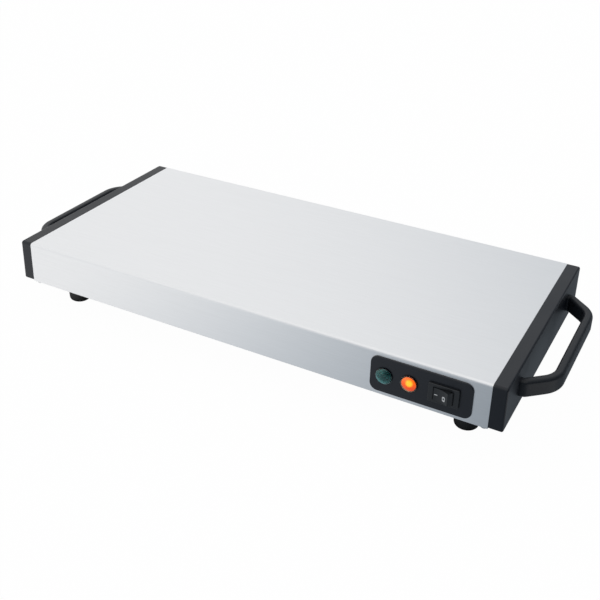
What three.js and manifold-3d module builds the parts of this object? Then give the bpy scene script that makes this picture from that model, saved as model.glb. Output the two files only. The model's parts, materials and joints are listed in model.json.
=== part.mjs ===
// Electric food warmer tray: a low steel-topped hot plate with end caps, handles and a control panel.
// Millimetres, +Z up, +X to the right as seen from the front, which faces -Y.
// The origin is on the floor, under the middle of the whole object.
import * as THREE from "three";
import { mergeVertices } from "three/addons/utils/BufferGeometryUtils.js";
import Module from "manifold-3d";

const wasm = await Module();
wasm.setup();

// Body
const bodyLength = 426.4; // over both end caps
const bodyDepth = 201.6;
const bodyHeight = 36.3; // without the feet
const clearance = 0.3; // between pieces that are put together
const fitGap = 0.15; // round a shank, a pin or a tab in its hole
const overrun = 5; // how far a cutting shape passes the surface it leaves
const weld = 0.0001; // vertices closer than this are one

// Sheet metal
const sheet = 0.8; // cover, base plate and heat shield
const topBend = 1.4; // inner radius of the two long top edges
const hemBend = 0.5; // inner radius of the two bottom folds
const hemWidth = 9; // return flange under the body
const lipHeight = 2.2; // upturned edges of the base plate
const ventLength = 34;
const ventWidth = 4;
const ventPitchX = 58;
const ventPitchY = 33;
const ventColumns = 6;
const ventRows = 3;

// End caps
const capWidth = 10.6;
const capWall = 2.2;
const capEdge = 1; // rounding of the outer face's edges
const capLift = 0.8; // the caps end this far above the bottom folds of the sheet
const capBottomCorner = 1.2;
const spigotLength = 7; // collar that slides into the sheet metal
const spigotWall = 1.6;
const spigotCorner = 1;
const bossSize = 6.6;
const bossHeight = 10;

// Handles
const handleReach = 24.6; // from the cap to the outer face of the grip
const handleThickness = 7.1;
const handleHeight = 13.6;
const handleEdge = 1.5;
const handleRise = 18.6; // middle of the bar above the bottom of the body
const handleStub = 2.6; // straight piece between the cap and the slanted leg
const handleRootSpread = 133.6; // between the middles of the two roots
const handleCorner = 21; // radius of the grip's corners, along the middle of the bar
const handleGripSpread = 99.4; // between the two corners of the grip
const handleScrewInset = 1.4; // from the root's middle towards the middle of the handle

// Feet
const footHeight = 25.1; // from the floor to the bottom of the body
const footRadius = 9.3;
const footTopRadius = 10.6;
const footEdge = 3.2;
const footInsetX = 33.7; // from the end of the body
const footInsetY = 31;
const footRecessRadius = 4.6;
const footRecessDepth = 12;

// Screws
const screwRadius = 1.5;
const screwHeadRadius = 2.8;
const screwHeadHeight = 1.8;
const screwBite = 5; // how far a screw goes into what it holds

// Control panel
const panelHeight = 28.8;
const panelCorner = 6;
const panelEdge = 0.6;
const panelProud = 1;
const panelPlate = 2.4; // thickness of the front
const panelLip = 1.4; // overlap on the steel round the cut-out
const panelPlugDepth = 6; // collar behind the face of the steel
const panelPlugWall = 1.6;
const panelFromEnd = 22.5; // from the end of the body to the panel's near edge
const panelRise = 17.8; // panel's middle above the bottom of the body
const controlRise = 17.7; // the lamps and the switch share this line

// Pilot lamps
const lensRadius = 6.5;
const lensRim = 1; // straight edge of the lens on the panel
const lensDome = 2.3;
const lensStemRadius = 4.9;
const lensStemLength = 13;
const lensWall = 1.3;
const greenInset = 11; // from the panel's far edge to the green lamp
const lampPitch = 18.9;
const switchPitch = 25.7; // from the amber lamp to the switch
const bulbRadius = 3;
const bulbLength = 11;
const nutRadius = 7.2;
const nutThickness = 0.8;

// Rocker switch
const switchInset = 20.4; // from the panel's near edge to the switch
const bezelWidth = 22.6;
const bezelHeight = 15;
const bezelProud = 1.8;
const bezelCorner = 1;
const bezelEdge = 0.5;
const switchBodyWidth = 19.4;
const switchBodyHeight = 13.4;
const switchBodyDepth = 16; // behind the face of the steel
const rockerHeight = 10;
const rockerEdge = 0.4;
const rockerGap = 0.35; // round the rocker in its well
const rockerHalfChord = 5.6; // from the middle to a ridge
const rockerRise = 5.6; // from the pivot to the ridges, with the rocker level
const rockerScoop = 0.9; // hollow of the face
const rockerTail = 2.6; // behind the pivot
const rockerHalfTravel = THREE.MathUtils.degToRad(14);
const pivotDepth = 0.5; // pivot behind the face of the steel
const pivotRadius = 1.2;
const pivotLength = 0.8; // what a pivot pin has in the wall of the well
const tabWidth = 4.8;
const tabThickness = 0.8;
const tabLength = 8;
const tabSeat = 2; // how deep a tab sits in its housing
const tabPitch = 9;

// Mains inlet
const inletFromEnd = 48.2; // from the end of the body to the inlet's middle
const inletRise = 18;
const flangeWidth = 50;
const flangeHeight = 24;
const flangeThickness = 2.5;
const flangeCorner = 3;
const inletBodyWidth = 27.4;
const inletBodyHeight = 19.8;
const inletBodyDepth = 20; // behind the face of the steel
const socketWidth = 24.2;
const socketHeight = 16.4;
const socketDepth = 17; // from the face of the flange
const socketChamfer = 4;
const inletScrewSpread = 40;
const pinWidth = 2;
const pinHeight = 4;
const pinEdge = 0.5;
const pinLength = 14; // inside the socket
const pinTail = 7; // behind the housing
const pinSpread = 14;
const pinOffset = 2; // live and neutral below the middle, earth above it

// Heating parts
const spreaderThickness = 1.5;
const spreaderInset = 6; // from the inside of the cover
const elementRadius = 3.25;
const elementGap = 0.1; // under the spreader
const elementRuns = 6;
const elementSideInset = 23.2; // from the long edges of the spreader to the outer runs
const elementEndInset = 9; // from the right end of the spreader to the ends of the tube
const elementTail = 16; // both ends of the tube run on past the bends' centres
const coldPinRadius = 1.2;
const coldPinLength = 9;
const strapWidth = 14;
const strapThickness = 1;
const strapTab = 8;
const strapInset = 47; // from the bends' centres to the outer straps
const matThickness = 7;
const matDepth = 132;
const matInset = 38; // from the left end of the cover
const bayLength = 66; // wiring bay at the right, clear of the mat
const shieldHeight = 15; // top of the shield over the base plate
const shieldFoot = 8;
const thermostatFromStrap = 58; // to the left of the right-hand strap
const thermostatRadius = 8;
const thermostatCup = 3.5;
const thermostatStep = 0.6; // the ceramic body is narrower than the cup
const thermostatHeight = 10;
const thermostatHole = 11; // radius of the hole in the mat and the shield
const thermostatTabPitch = 8;
const fuseFromStrap = 26; // to the left of the right-hand strap
const fuseRadius = 2;
const fuseLength = 12;
const fuseWire = 0.5;
const fuseWireLength = 8;
const clipWidth = 6;
const clipThickness = 0.6;
const clipTab = 3.5;

// Wiring
const leadRadius = 1.3;
const leadReach = 36; // how far a long lead keeps the direction it leaves in
const leadTurn = 10; // the same for a short one
const leadRise = 0.1; // climb of a lead, as a share of its reach, that passes over or under another
const leadSeat = 3; // what a lead has inside the terminal block
const leadStraight = 3.4; // at each end
const blockFromEnd = 50.2; // from the end of the body to the block's middle
const blockWidth = 20;
const blockDepth = 22;
const blockHeight = 12;
const blockOffset = 20; // behind the middle of the body
const polePitch = 10;
const poleRadius = 1.8;
const studFromEnd = 29.2;
const studFromFoot = 21; // in front of the foot
const studRadius = 2;
const studHeight = 7;
const studNutRadius = 4;
const studNutHeight = 3;

// Fineness of the round shapes
const cornerStep = THREE.MathUtils.degToRad(22.5);
const fineSides = 24;
const coarseSides = 12;
const leadSides = 6;
const leadSteps = 12;

// Levels, from the floor up
const bodyBottom = footHeight;
const bodyTop = bodyBottom + bodyHeight;
const plateBottom = bodyBottom + sheet;
const plateTop = plateBottom + sheet;
const coverUnderside = bodyTop - sheet;
const spigotBottom = plateTop + clearance;
const controlLevel = bodyBottom + controlRise;
const panelLevel = bodyBottom + panelRise;
const handleLevel = bodyBottom + handleRise;
const inletLevel = bodyBottom + inletRise;
const spreaderUnderside = coverUnderside - spreaderThickness;
const elementLevel = spreaderUnderside - elementGap - elementRadius;
const shieldTop = plateTop + shieldHeight;

// The panel is as wide as its controls and the edges beside them need.
const panelWidth = greenInset + lampPitch + switchPitch + switchInset;

// Places along X
const bodyEnd = bodyLength / 2;
const coverEnd = bodyEnd - capWidth;
const plateEnd = coverEnd - clearance;
const spreaderEnd = coverEnd - spigotLength - spreaderInset;
const panelX = bodyEnd - panelFromEnd - panelWidth / 2;
const switchX = bodyEnd - panelFromEnd - switchInset;
const greenX = bodyEnd - panelFromEnd - panelWidth + greenInset;
const amberX = greenX + lampPitch;
const inletX = bodyEnd - inletFromEnd;
const bossX = coverEnd - spigotLength / 2;
const footX = bodyEnd - footInsetX;
const matLeft = matInset - coverEnd;
const matRight = coverEnd - bayLength;
const blockX = bodyEnd - blockFromEnd;
const studX = bodyEnd - studFromEnd;
const elementEnd = spreaderEnd - elementEndInset;
const elementBendX = elementEnd - elementTail;
const strapX = elementBendX - strapInset;
const thermostatX = strapX - thermostatFromStrap;
const fuseX = strapX - fuseFromStrap;

// Places along Y, from the middle of the body
const front = -bodyDepth / 2;
const rear = bodyDepth / 2;
const wallInside = rear - sheet;
const plateEdge = wallInside - hemBend - clearance;
const spigotOutside = wallInside - clearance;
const bossY = spigotOutside - bossSize / 2;
const footY = rear - footInsetY;
const studY = footY - studFromFoot;
const spreaderEdge = wallInside - spreaderInset;
const elementSpread = spreaderEdge - elementSideInset;
const elementPitch = (2 * elementSpread) / (elementRuns - 1);
const panelFace = front - panelProud;
const pivotY = front + pivotDepth;
const rockerRadius = Math.hypot(rockerHalfChord, rockerRise);

// The body stands where the rocker in front and the inlet's screws behind reach equally far from the origin.
const rockerReach =
  rockerHalfChord * Math.sin(rockerHalfTravel) + rockerRise * Math.cos(rockerHalfTravel) - pivotDepth;
const inletReach = flangeThickness + screwHeadHeight;
const bodyY = (rockerReach - inletReach) / 2;

// A closed solid that can be cut and joined.
function solid(geometry) {
  const bare = geometry.clone();
  bare.deleteAttribute("normal");
  bare.deleteAttribute("uv");
  const merged = mergeVertices(bare, weld);
  return new wasm.Manifold(
    new wasm.Mesh({
      numProp: 3,
      vertProperties: merged.attributes.position.array,
      triVerts: new Uint32Array(merged.index.array),
    }),
  );
}

function geometryOf(manifold) {
  const mesh = manifold.getMesh();
  const geometry = new THREE.BufferGeometry();
  geometry.setAttribute("position", new THREE.BufferAttribute(mesh.vertProperties, mesh.numProp));
  geometry.setIndex(new THREE.BufferAttribute(mesh.triVerts, 1));
  geometry.computeVertexNormals();
  return geometry;
}

function cut(geometry, ...tools) {
  return geometryOf(tools.reduce((rest, tool) => rest.subtract(solid(tool)), solid(geometry)));
}

function join(geometry, ...others) {
  return geometryOf(others.reduce((whole, other) => whole.add(solid(other)), solid(geometry)));
}

// The points of a closed outline through corners [x, y, radius]; a corner without a radius stays sharp.
function outline(corners) {
  return corners.flatMap(([x, y, radius = 0], i) => {
    const corner = new THREE.Vector2(x, y);
    if (!radius) return [corner];
    const [beforeX, beforeY] = corners.at(i - 1);
    const [afterX, afterY] = corners[(i + 1) % corners.length];
    const back = new THREE.Vector2(beforeX - x, beforeY - y).normalize();
    const ahead = new THREE.Vector2(afterX - x, afterY - y).normalize();
    const half = Math.acos(back.dot(ahead)) / 2;
    const middle = back.clone().add(ahead).setLength(radius / Math.sin(half)).add(corner);
    const start = back.clone().setLength(radius / Math.tan(half)).add(corner).sub(middle);
    const turn = (Math.PI - 2 * half) * (back.cross(ahead) > 0 ? -1 : 1);
    const steps = Math.max(2, Math.round(Math.abs(turn) / cornerStep));
    return arc(middle, start.length(), start.angle(), start.angle() + turn, steps);
  });
}

function arc(middle, radius, from, to, steps) {
  return Array.from({ length: steps + 1 }, (_, k) => {
    const angle = from + ((to - from) * k) / steps;
    return new THREE.Vector2(middle.x + radius * Math.cos(angle), middle.y + radius * Math.sin(angle));
  });
}

function rectangle(width, height, corner = 0, x = 0, y = 0) {
  return outline([
    [x - width / 2, y - height / 2, corner],
    [x + width / 2, y - height / 2, corner],
    [x + width / 2, y + height / 2, corner],
    [x - width / 2, y + height / 2, corner],
  ]);
}

function circle(radius, x = 0, y = 0, sides = coarseSides) {
  return arc(new THREE.Vector2(x, y), radius, 0, 2 * Math.PI, sides).slice(0, -1);
}

// A prism from z = 0 up, with rounded edges where an edge radius is given.
function prism(points, height, { edge = 0, holes = [] } = {}) {
  const shape = new THREE.Shape(points);
  shape.holes = holes.map((hole) => new THREE.Path(hole));
  const geometry = new THREE.ExtrudeGeometry(shape, {
    depth: height - 2 * edge,
    bevelEnabled: edge > 0,
    bevelThickness: edge,
    bevelSize: edge,
    bevelOffset: -edge,
    bevelSegments: 3,
  });
  return geometry.translate(0, 0, edge);
}

// A solid of revolution about Z from [radius, z] pairs that go up along the outside.
function turned(profile, sides = coarseSides) {
  const points = profile.map(([radius, z]) => new THREE.Vector2(radius, z));
  return new THREE.LatheGeometry(points, sides).rotateX(Math.PI / 2);
}

function block([x0, x1], [y0, y1], [z0, z1]) {
  const geometry = new THREE.BoxGeometry(x1 - x0, y1 - y0, z1 - z0);
  return geometry.translate((x0 + x1) / 2, (y0 + y1) / 2, (z0 + z1) / 2);
}

function span(middle, width) {
  return [middle - width / 2, middle + width / 2];
}

// Turns of a shape drawn flat: its height goes towards the front, the rear or the right.
function facingFront(geometry) {
  return geometry.rotateX(Math.PI / 2);
}

function facingRear(geometry) {
  return geometry.rotateX(Math.PI / 2).rotateZ(Math.PI);
}

function alongX(geometry) {
  const turn = new THREE.Matrix4().makeBasis(
    new THREE.Vector3(0, 1, 0),
    new THREE.Vector3(0, 0, 1),
    new THREE.Vector3(1, 0, 0),
  );
  return geometry.applyMatrix4(turn);
}

// A hole or a rod along an axis, centred on a place.
function rod(radius, length, sides = coarseSides) {
  return prism(circle(radius, 0, 0, sides), length).translate(0, 0, -length / 2);
}

// A path that stops at every one of its points, so that straight runs stay straight.
class Route extends THREE.Curve {
  constructor(points) {
    super();
    this.points = points;
  }

  getUtoTmapping(u) {
    return u;
  }

  getPoint(t, target = new THREE.Vector3()) {
    const place = t * (this.points.length - 1);
    const index = Math.min(Math.floor(place), this.points.length - 2);
    return target.lerpVectors(this.points[index], this.points[index + 1], place - index);
  }
}

function tube(points, radius, sides) {
  return new THREE.ExtrudeGeometry(new THREE.Shape(circle(radius, 0, 0, sides)), {
    extrudePath: new Route(points),
    steps: points.length - 1,
  });
}

function material(color, roughness, metalness = 0, more = {}) {
  return new THREE.MeshStandardMaterial({ color, roughness, metalness, flatShading: true, ...more });
}

const brushedSteel = material(0xc9cbce, 0.35, 0.9);
const plainSteel = material(0xa9abae, 0.45, 0.85);
const blackPlastic = material(0x2c2f33, 0.55);
const glossPlastic = material(0x17191c, 0.3);
const blackRubber = material(0x151818, 0.85);
const greenLens = material(0x0d4a40, 0.15, 0, { transparent: true, opacity: 0.8 });
const amberLens = material(0xff6a10, 0.15, 0, { transparent: true, opacity: 0.8, emissive: 0xff5a00 });
const clearGlass = material(0xe8e8e0, 0.05, 0, { transparent: true, opacity: 0.5 });
const spreaderAluminium = material(0xd0d2d4, 0.4, 0.9);
const elementSteel = material(0x6d6a66, 0.5, 0.8);
const brass = material(0xc9a452, 0.35, 0.9);
const ceramic = material(0xe9e4d8, 0.6);
const matFibre = material(0xe6e2d6, 0.95);
const leadSleeve = material(0xd8d4c8, 0.7);

const tray = new THREE.Group();
const body = new THREE.Group();
body.position.y = bodyY;
tray.add(body);

function add(name, geometry, look, x = 0, y = 0, z = 0) {
  const mesh = new THREE.Mesh(geometry, look);
  mesh.name = name;
  mesh.position.set(x, y, z);
  body.add(mesh);
  return mesh;
}

// Cover: one sheet folded over the front, the top and the rear, with a hem under each long side
function coverProfile() {
  const hemTip = rear - hemWidth;
  const outside = [
    [hemTip, bodyBottom],
    [rear, bodyBottom, hemBend + sheet],
    [rear, bodyTop, topBend + sheet],
    [front, bodyTop, topBend + sheet],
    [front, bodyBottom, hemBend + sheet],
    [-hemTip, bodyBottom],
  ];
  const inside = [
    [-hemTip, plateBottom],
    [-wallInside, plateBottom, hemBend],
    [-wallInside, coverUnderside, topBend],
    [wallInside, coverUnderside, topBend],
    [wallInside, plateBottom, hemBend],
    [hemTip, plateBottom],
  ];
  return outline([...outside, ...inside]);
}

// Through holes in the front and rear walls are cut by prisms that pass the wall by the overrun.
function wallCutter(points, wall) {
  const length = sheet + 2 * overrun;
  return facingFront(prism(points, length)).translate(0, wall + length / 2, 0);
}

const panelOpeningWidth = panelWidth - 2 * panelLip;
const panelOpeningHeight = panelHeight - 2 * panelLip;
const panelOpeningCorner = panelCorner - panelLip;

function steelCover() {
  const shell = alongX(prism(coverProfile(), 2 * coverEnd)).translate(-coverEnd, 0, 0);
  const panelOpening = rectangle(panelOpeningWidth, panelOpeningHeight, panelOpeningCorner, panelX, panelLevel);
  const inletOpening = rectangle(inletBodyWidth + 2 * clearance, inletBodyHeight + 2 * clearance, 0, inletX, inletLevel);
  const inletHoles = signs.map((side) =>
    wallCutter(circle(screwRadius + fitGap, inletX + (side * inletScrewSpread) / 2, inletLevel), rear),
  );
  const hemHoles = corners.map(([sideX, sideY]) =>
    rod(screwRadius + fitGap, overrun).translate(sideX * bossX, sideY * bossY, bodyBottom),
  );
  return cut(shell, wallCutter(panelOpening, front), wallCutter(inletOpening, rear), ...inletHoles, ...hemHoles);
}

const signs = [-1, 1];
const corners = signs.flatMap((sideX) => signs.map((sideY) => [sideX, sideY]));

// Base plate: a tray with upturned front and rear lips that lies on the hems
function basePlate() {
  const vents = [];
  for (let column = 0; column < ventColumns; column++) {
    for (let row = 0; row < ventRows; row++) {
      const x = (column - (ventColumns - 1) / 2) * ventPitchX;
      const y = (row - (ventRows - 1) / 2) * ventPitchY;
      vents.push(rectangle(ventLength, ventWidth, ventWidth / 2, x, y));
    }
  }
  const screwHoles = corners.flatMap(([sideX, sideY]) => [
    circle(screwRadius + fitGap, sideX * bossX, sideY * bossY),
    circle(screwRadius + fitGap, sideX * footX, sideY * footY),
  ]);
  const studHole = circle(studRadius + fitGap, studX, studY);
  const plate = prism(rectangle(2 * plateEnd, 2 * plateEdge), sheet, { holes: [...vents, ...screwHoles, studHole] });
  const lipEnd = plateEnd - spigotLength - clearance;
  const lips = signs.map((side) =>
    block([-lipEnd, lipEnd], span(side * (plateEdge - sheet / 2), sheet), [plateBottom, plateTop + lipHeight]),
  );
  return join(plate.translate(0, 0, plateBottom), ...lips);
}

// End cap for the right end: a hollow moulding with a collar that slides into the sheet metal
function endCap() {
  const capBottom = bodyBottom + capLift;
  const face = outline([
    [front, capBottom, capBottomCorner],
    [rear, capBottom, capBottomCorner],
    [rear, bodyTop, topBend + sheet],
    [front, bodyTop, topBend + sheet],
  ]);
  const shell = prism(face, capWidth + overrun, { edge: capEdge });
  const hollowHeight = bodyTop - capBottom - 2 * capWall;
  const middle = (capBottom + bodyTop) / 2;
  const hollow = prism(
    rectangle(bodyDepth - 2 * capWall, hollowHeight, spigotCorner, 0, middle),
    capWidth + overrun - capWall,
  );
  const innerEnd = block([-overrun, overrun], [front - overrun, rear + overrun], [0, bodyTop + overrun]);
  const cap = cut(alongX(shell), alongX(hollow), innerEnd).translate(coverEnd - overrun, 0, 0);

  const spigotTop = coverUnderside - clearance;
  const spigotMiddle = (spigotBottom + spigotTop) / 2;
  const spigotHeight = spigotTop - spigotBottom;
  const inner = rectangle(
    2 * (spigotOutside - spigotWall),
    spigotHeight - 2 * spigotWall,
    spigotCorner,
    0,
    spigotMiddle,
  );
  const collar = prism(
    rectangle(2 * spigotOutside, spigotHeight, spigotCorner, 0, spigotMiddle),
    spigotLength + capWidth - capWall,
    { holes: [inner] },
  );
  const bosses = signs.map((side) =>
    block(
      [coverEnd - spigotLength, coverEnd + capWidth / 2],
      span(side * bossY, bossSize),
      [spigotBottom, spigotBottom + bossHeight],
    ),
  );
  const bossHoles = signs.map((side) =>
    rod(screwRadius + fitGap, 2 * (screwBite + fitGap)).translate(bossX, side * bossY, spigotBottom),
  );
  const handleHoles = signs.map((side) =>
    alongX(rod(screwRadius + fitGap, 2 * capWall)).translate(bodyEnd - capWall / 2, side * handleScrewY, handleLevel),
  );
  const whole = join(cap, alongX(collar).translate(coverEnd - spigotLength, 0, 0), ...bosses);
  return cut(whole, ...bossHoles, ...handleHoles);
}

const handleScrewY = handleRootSpread / 2 - handleScrewInset;

// The points at a distance to the right of a line through points, with mitred corners.
function beside(line, distance) {
  return line.map((point, i) => {
    const before = point.clone().sub(line[Math.max(i - 1, 0)]);
    const after = line[Math.min(i + 1, line.length - 1)].clone().sub(point);
    const into = (i ? before : after).clone().normalize();
    const out = (i < line.length - 1 ? after : before).clone().normalize();
    const normal = new THREE.Vector2(into.y + out.y, -into.x - out.x).normalize();
    return normal.setLength(distance / normal.dot(new THREE.Vector2(into.y, -into.x))).add(point);
  });
}

// Handle for the right end: a flat D in plan, its legs slanting in to the grip
function handle() {
  const gripX = bodyEnd + handleReach - handleThickness / 2;
  const stubX = bodyEnd + handleStub;
  const startX = bodyEnd - overrun;
  const line = [
    [startX, -handleRootSpread / 2],
    [stubX, -handleRootSpread / 2],
    [gripX, -handleGripSpread / 2],
    [gripX, handleGripSpread / 2],
    [stubX, handleRootSpread / 2],
    [startX, handleRootSpread / 2],
  ].map(([x, y]) => new THREE.Vector2(x, y));
  const half = handleThickness / 2;
  const radii = [0, 0, 1, 1, 0, 0];
  const outer = beside(line, half).map((p, i) => [p.x, p.y, radii[i] * (handleCorner + half)]);
  const inner = beside(line, -half).map((p, i) => [p.x, p.y, radii[i] * (handleCorner - half)]);
  const bar = prism(outline([...outer, ...inner.reverse()]), handleHeight, { edge: handleEdge });
  const rootCut = block([startX - overrun, bodyEnd], [front, rear], [-overrun, handleHeight + overrun]);
  const screwHoles = signs.map((side) =>
    alongX(rod(screwRadius + fitGap, 2 * (screwBite + fitGap))).translate(
      bodyEnd,
      side * handleScrewY,
      handleHeight / 2,
    ),
  );
  return cut(bar, rootCut, ...screwHoles).translate(0, 0, handleLevel - handleHeight / 2);
}

// Foot: a round rubber stud with a recess for its screw, rounded where it meets the floor
function foot() {
  const top = plateBottom;
  const floorEdge = arc(new THREE.Vector2(footRadius - footEdge, footEdge), footEdge, -Math.PI / 2, 0, 4);
  return turned(
    [
      [footRecessRadius, 0],
      ...floorEdge.map((point) => [point.x, point.y]),
      [footTopRadius, top],
      [screwRadius + fitGap, top],
      [screwRadius + fitGap, footRecessDepth],
      [footRecessRadius, footRecessDepth],
      [footRecessRadius, 0],
    ],
    fineSides,
  );
}

// Pan-head screw that points up, the underside of its head at z = 0
function screw(length) {
  return turned([
    [0, -screwHeadHeight],
    [screwHeadRadius * 0.75, -screwHeadHeight],
    [screwHeadRadius, -screwHeadHeight * 0.4],
    [screwHeadRadius, 0],
    [screwRadius, 0],
    [screwRadius, length - screwRadius * 0.5],
    [screwRadius * 0.6, length],
    [0, length],
  ]);
}

// Control panel: a plate with a collar that fits the opening in the steel
function controlPanel() {
  const middle = [panelX, panelLevel];
  const plate = facingFront(prism(rectangle(panelWidth, panelHeight, panelCorner, ...middle), panelProud + overrun, { edge: panelEdge }))
    .translate(0, front + overrun, 0);
  const behindSteelFace = block(
    [panelX - panelWidth, panelX + panelWidth],
    [front, front + 2 * overrun],
    [bodyBottom, bodyTop],
  );
  const plugOutline = (inset) =>
    rectangle(
      panelOpeningWidth - 2 * inset,
      panelOpeningHeight - 2 * inset,
      Math.max(panelOpeningCorner - inset, 0),
      ...middle,
    );
  const plug = facingFront(prism(plugOutline(clearance), panelPlugDepth + panelProud / 2)).translate(
    0,
    front + panelPlugDepth,
    0,
  );
  const hollow = facingFront(
    prism(plugOutline(clearance + panelPlugWall), panelPlugDepth + panelProud - panelPlate + overrun),
  ).translate(0, front + panelPlugDepth + overrun, 0);
  const lampHoles = [greenX, amberX].map((x) =>
    facingFront(rod(lensStemRadius + fitGap, 2 * panelPlate + overrun, fineSides)).translate(x, panelFace, controlLevel),
  );
  const switchHole = block(
    span(switchX, switchBodyWidth + 2 * clearance),
    [panelFace - overrun, front + panelPlugDepth],
    span(controlLevel, switchBodyHeight + 2 * clearance),
  );
  return cut(join(cut(plate, behindSteelFace), plug), hollow, ...lampHoles, switchHole);
}

// Pilot lens: a domed cap on a hollow stem, seen from the front with its rim on the panel
function lens() {
  const domeRadius = (lensRadius ** 2 + lensDome ** 2) / (2 * lensDome);
  const domeMiddle = new THREE.Vector2(0, lensRim + lensDome - domeRadius);
  const dome = arc(domeMiddle, domeRadius, Math.asin((domeRadius - lensDome) / domeRadius), Math.PI / 2, 5);
  const boreRadius = lensStemRadius - lensWall;
  return facingFront(
    turned(
      [
        [0, 0],
        [boreRadius, 0],
        [boreRadius, -lensStemLength],
        [lensStemRadius, -lensStemLength],
        [lensStemRadius, 0],
        [lensRadius, 0],
        ...dome.slice(0, -1).map((point) => [point.x, point.y]),
        [0, lensRim + lensDome],
      ],
      fineSides,
    ),
  );
}

// Neon bulb: a glass capsule inside the stem
function bulb() {
  const tip = arc(new THREE.Vector2(0, -clearance - bulbRadius), bulbRadius, 0, Math.PI / 2, 3);
  return facingFront(
    turned([
      [0, -clearance - bulbLength],
      [bulbRadius, -clearance - bulbLength],
      ...tip.slice(0, -1).map((point) => [point.x, point.y]),
      [0, -clearance],
    ]),
  );
}

// Push-on nut behind the panel
function lensNut() {
  const hole = circle(lensStemRadius + fitGap, 0, 0, fineSides);
  const ring = prism(circle(nutRadius, 0, 0, fineSides), nutThickness, { holes: [hole] });
  return facingFront(ring).translate(0, panelPlate + nutThickness, 0);
}

// Switch housing: bezel, body with the rocker's well, pivot sockets and seats for the tabs
function switchHousing() {
  const bezel = facingFront(
    prism(rectangle(bezelWidth, bezelHeight, bezelCorner), bezelProud + overrun, { edge: bezelEdge }),
  ).translate(0, panelFace + overrun, 0);
  const behindPanelFace = block(
    span(0, bezelWidth + 2 * overrun),
    [panelFace, panelFace + 2 * overrun],
    span(0, bezelHeight + 2 * overrun),
  );
  const bodyBack = front + switchBodyDepth;
  const box = block(span(0, switchBodyWidth), [panelFace - bezelProud / 2, bodyBack], span(0, switchBodyHeight));
  const well = block(
    span(0, 2 * (rockerRadius + rockerGap)),
    [panelFace - bezelProud - overrun, pivotY + rockerRadius + rockerGap],
    span(0, rockerHeight + 2 * rockerGap),
  );
  const sockets = rod(pivotRadius + fitGap, rockerHeight + 2 * (rockerGap + pivotLength + fitGap)).translate(0, pivotY, 0);
  const seats = signs.map((side) =>
    block(
      span((side * tabPitch) / 2, tabThickness + 2 * fitGap),
      [bodyBack - tabSeat - fitGap, bodyBack + overrun],
      span(0, tabWidth + 2 * fitGap),
    ),
  );
  return cut(join(cut(bezel, behindPanelFace), box), well, sockets, ...seats);
}

// Rocker: a hollowed face between two ridges, ends that are round about the pivot, and two pivot pins
function rocker() {
  const scoopRadius = (rockerHalfChord ** 2 + rockerScoop ** 2) / (2 * rockerScoop);
  const scoopMiddle = new THREE.Vector2(0, -rockerRise + rockerScoop - scoopRadius);
  const scoopHalf = Math.asin(rockerHalfChord / scoopRadius);
  const ridge = Math.atan2(rockerRise, rockerHalfChord);
  const tail = Math.asin(rockerTail / rockerRadius);
  const pivot = new THREE.Vector2();
  const face = arc(scoopMiddle, scoopRadius, Math.PI / 2 + scoopHalf, Math.PI / 2 - scoopHalf, 8);
  const rightEnd = arc(pivot, rockerRadius, -ridge, tail, 5).slice(1);
  const leftEnd = arc(pivot, rockerRadius, Math.PI - tail, Math.PI + ridge, 5).slice(0, -1);
  const key = prism([...face, ...rightEnd, ...leftEnd], rockerHeight, { edge: rockerEdge });
  return join(key.translate(0, 0, -rockerHeight / 2), rod(pivotRadius, rockerHeight + 2 * (rockerGap + pivotLength)));
}

function switchTab() {
  const bodyBack = front + switchBodyDepth;
  return block(span(0, tabThickness), [bodyBack - tabSeat, bodyBack + tabLength], span(0, tabWidth));
}

// Mains inlet: a flange on the rear wall, a body behind it and a socket for three pins
const inletFace = rear + flangeThickness;
const socketFloor = inletFace - socketDepth;
const inletBack = rear - inletBodyDepth;
const pinPlaces = {
  live: [-pinSpread / 2, -pinOffset],
  neutral: [pinSpread / 2, -pinOffset],
  earth: [0, pinOffset],
};

function mainsInlet() {
  const halfWidth = socketWidth / 2;
  const halfHeight = socketHeight / 2;
  const flange = facingRear(prism(rectangle(flangeWidth, flangeHeight, flangeCorner), flangeThickness)).translate(0, rear, 0);
  const box = block(span(0, inletBodyWidth), [inletBack, rear + flangeThickness / 2], span(0, inletBodyHeight));
  const socket = outline([
    [-halfWidth, -halfHeight],
    [halfWidth, -halfHeight],
    [halfWidth, halfHeight - socketChamfer],
    [halfWidth - socketChamfer, halfHeight],
    [socketChamfer - halfWidth, halfHeight],
    [-halfWidth, halfHeight - socketChamfer],
  ]);
  const well = facingRear(prism(socket, socketDepth + overrun)).translate(0, socketFloor, 0);
  const slots = Object.values(pinPlaces).map(([x, z]) =>
    block(
      span(x, pinWidth + 2 * fitGap),
      [inletBack - overrun, socketFloor + overrun],
      span(z, pinHeight + 2 * fitGap),
    ),
  );
  const holes = signs.map((side) =>
    facingFront(rod(screwRadius + fitGap, 2 * inletReach)).translate((side * inletScrewSpread) / 2, inletFace, 0),
  );
  return cut(join(flange, box), well, ...slots, ...holes);
}

function inletPin() {
  const length = pinLength + (socketFloor - inletBack) + pinTail;
  return facingRear(prism(rectangle(pinWidth, pinHeight), length, { edge: pinEdge })).translate(
    0,
    inletBack - pinTail,
    0,
  );
}

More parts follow.
